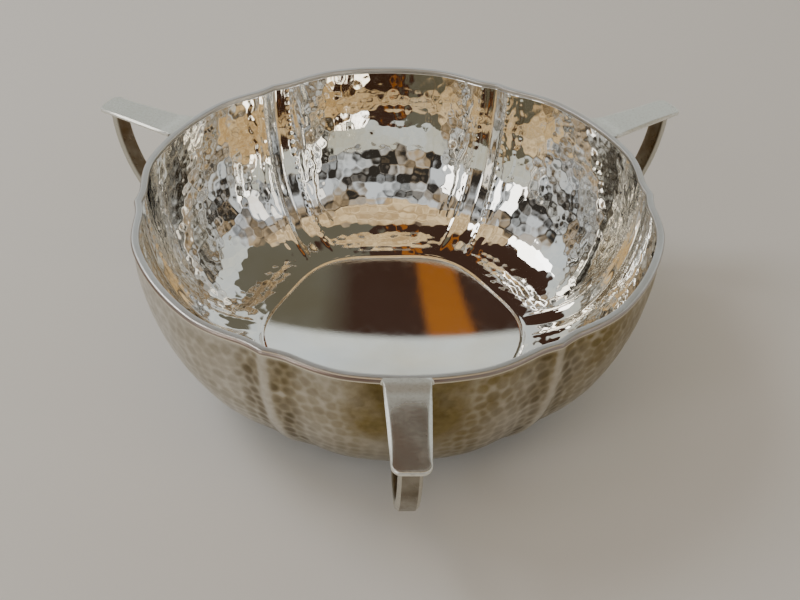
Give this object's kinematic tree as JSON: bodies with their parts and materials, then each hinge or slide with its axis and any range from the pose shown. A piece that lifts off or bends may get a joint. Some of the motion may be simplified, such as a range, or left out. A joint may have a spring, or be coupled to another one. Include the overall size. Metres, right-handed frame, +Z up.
{
  "type": "hammered bowl",
  "caption": "Hammered metal bowl with a lobed, ribbed wall, a flat base, a wire rim and strap-braced plate handles level with the rim.",
  "frame": {"origin": "middle of the flat base the bowl rests on", "axes": "+Z up out of the bowl's mouth, -Y along the front handle"},
  "size_m": [0.218, 0.214, 0.065],
  "materials": {
    "hammered_silver": "hammered silver plate, mirror bright inside, satin and lightly tarnished outside",
    "rim_silver": "satin silver plate",
    "plate_silver": "satin silver plate with faint yellow tarnish",
    "bracket_silver": "satin silver plate, tarnished in its inner faces"
  },
  "bodies": {
    "root": {"bowl_shell": "hammered_silver", "rim_wire": "rim_silver", "front_handle_plate": "plate_silver", "right_handle_plate": "plate_silver", "left_handle_plate": "plate_silver", "front_handle_bracket": "bracket_silver", "right_handle_bracket": "bracket_silver", "left_handle_bracket": "bracket_silver"}
  },
  "joints": []
}
